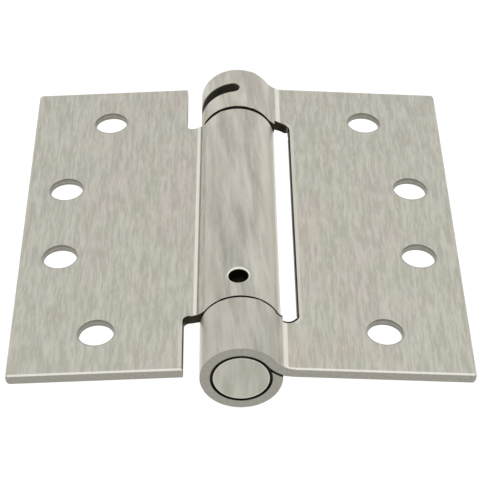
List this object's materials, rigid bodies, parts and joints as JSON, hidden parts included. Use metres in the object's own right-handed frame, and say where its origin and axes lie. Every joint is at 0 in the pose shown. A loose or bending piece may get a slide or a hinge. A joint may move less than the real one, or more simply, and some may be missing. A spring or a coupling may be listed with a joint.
{
  "type": "spring door hinge",
  "caption": "Full-mortise spring hinge: square-cornered leaves with countersunk screw holes, rolled knuckles and an adjustable torsion spring inside the barrel.",
  "frame": {"origin": "middle of the pin axis, halfway between the barrel's ends", "axes": "+Y along the pin towards the tension collar; +Z out of the jamb leaf's seating face; +X from the pin to the jamb leaf's outer edge"},
  "size_m": [0.1142, 0.1142, 0.0204],
  "materials": {
    "satin_leaf": "satin stainless, brushed along the pin",
    "satin_plug": "satin stainless end plug",
    "black_oxide": "black oxide on turned steel",
    "spring_steel": "oil-tempered spring wire",
    "bearing_bronze": "oil-filled bronze, dark",
    "hardened_washer": "hardened steel, dark"
  },
  "bodies": {
    "jamb": {"jamb_leaf": "satin_leaf", "lower_bush": "bearing_bronze", "thrust_washer": "hardened_washer", "upper_plug": "satin_plug", "lower_plug": "satin_plug"},
    "door": {"door_leaf": "satin_leaf", "torsion_spring": "spring_steel", "spring_anchor": "black_oxide", "anchor_pin": "black_oxide", "upper_bush": "bearing_bronze"},
    "collar": {"tension_collar": "black_oxide"}
  },
  "joints": [
    {"name": "leaf_swing", "type": "hinge", "parent": "jamb", "child": "door", "pos_m": [0, 0, 0], "axis": [0, 1, 0], "range_deg": [-174.24, 5.76], "stiffness_Nm_per_rad": 2.36, "deforming": ["torsion_spring"]},
    {"name": "tension_turn", "type": "hinge", "parent": "jamb", "child": "collar", "pos_m": [0, 0.04, 0], "axis": [0, 1, 0], "range_deg": [-216, 0], "deforming": ["torsion_spring"]}
  ]
}
